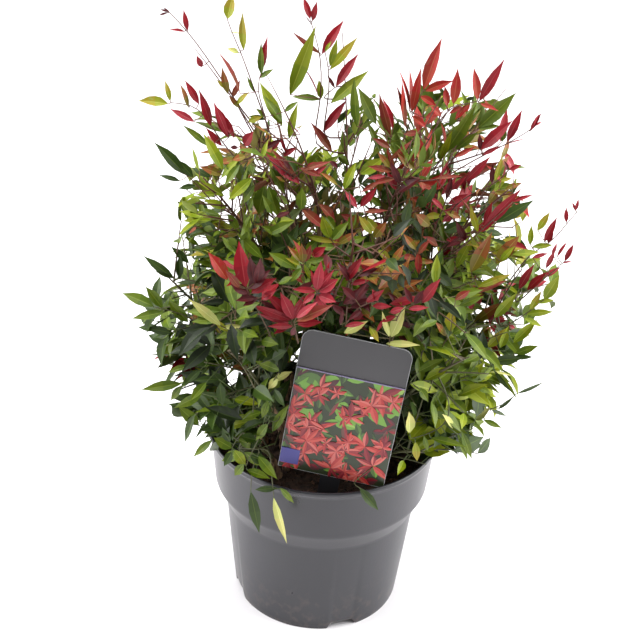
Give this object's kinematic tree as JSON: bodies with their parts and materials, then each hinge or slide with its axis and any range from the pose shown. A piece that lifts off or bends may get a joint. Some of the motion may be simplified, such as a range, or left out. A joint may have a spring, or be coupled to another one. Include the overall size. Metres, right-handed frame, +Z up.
{
  "type": "potted heavenly bamboo shrub",
  "caption": "Young heavenly bamboo shrub in a filled round nursery pot: thin canes fan out and carry leafy masses with red young leaves, behind a blank plant label on a stake.",
  "frame": {"origin": "centre of the pot's flat underside, on the floor", "axes": "+Z up along the pot's axis; the front, with the plant label, faces -Y; +X is to the right seen from the front"},
  "size_m": [0.3202, 0.3172, 0.4964],
  "materials": {
    "pot_plastic": "satin",
    "soil": "rough",
    "label_plastic": "smooth",
    "cane_bark": "rough",
    "leaf_dark_green": "satin",
    "leaf_olive": "satin",
    "leaf_crimson": "satin",
    "leaf_mid_green": "satin",
    "leaf_lime": "satin"
  },
  "bodies": {
    "root": {"pot": "pot_plastic", "soil": "soil", "label": "label_plastic", "cane_front_1": "cane_bark", "cane_front_2": "cane_bark", "cane_middle_1": "cane_bark", "cane_middle_2": "cane_bark", "cane_middle_3": "cane_bark", "cane_middle_4": "cane_bark", "cane_middle_5": "cane_bark", "cane_middle_6": "cane_bark", "cane_middle_7": "cane_bark", "cane_skirt_1": "cane_bark", "cane_skirt_2": "cane_bark", "cane_skirt_3": "cane_bark", "cane_skirt_4": "cane_bark", "cane_skirt_5": "cane_bark", "cane_skirt_6": "cane_bark", "cane_top_1": "cane_bark", "cane_top_2": "cane_bark", "cane_top_3": "cane_bark", "cane_top_4": "cane_bark", "cane_top_5": "cane_bark", "cane_upper_1": "cane_bark", "cane_upper_2": "cane_bark", "cane_upper_3": "cane_bark", "cane_upper_4": "cane_bark", "cane_upper_5": "cane_bark", "leaves_front_1": "leaf_crimson", "leaves_front_2": "leaf_crimson", "leaves_middle_1": "leaf_olive", "leaves_middle_2": "leaf_olive", "leaves_middle_3": "leaf_olive", "leaves_middle_4": "leaf_olive", "leaves_middle_5": "leaf_olive", "leaves_middle_6": "leaf_olive", "leaves_middle_7": "leaf_olive", "leaves_skirt_1": "leaf_dark_green", "leaves_skirt_2": "leaf_dark_green", "leaves_skirt_3": "leaf_dark_green", "leaves_skirt_4": "leaf_dark_green", "leaves_skirt_5": "leaf_dark_green", "leaves_skirt_6": "leaf_dark_green", "leaves_top_1": "leaf_lime", "leaves_top_2": "leaf_lime", "leaves_top_3": "leaf_lime", "leaves_top_4": "leaf_lime", "leaves_top_5": "leaf_lime", "leaves_upper_1": "leaf_mid_green", "leaves_upper_2": "leaf_mid_green", "leaves_upper_3": "leaf_mid_green", "leaves_upper_4": "leaf_mid_green", "leaves_upper_5": "leaf_mid_green"}
  },
  "joints": []
}
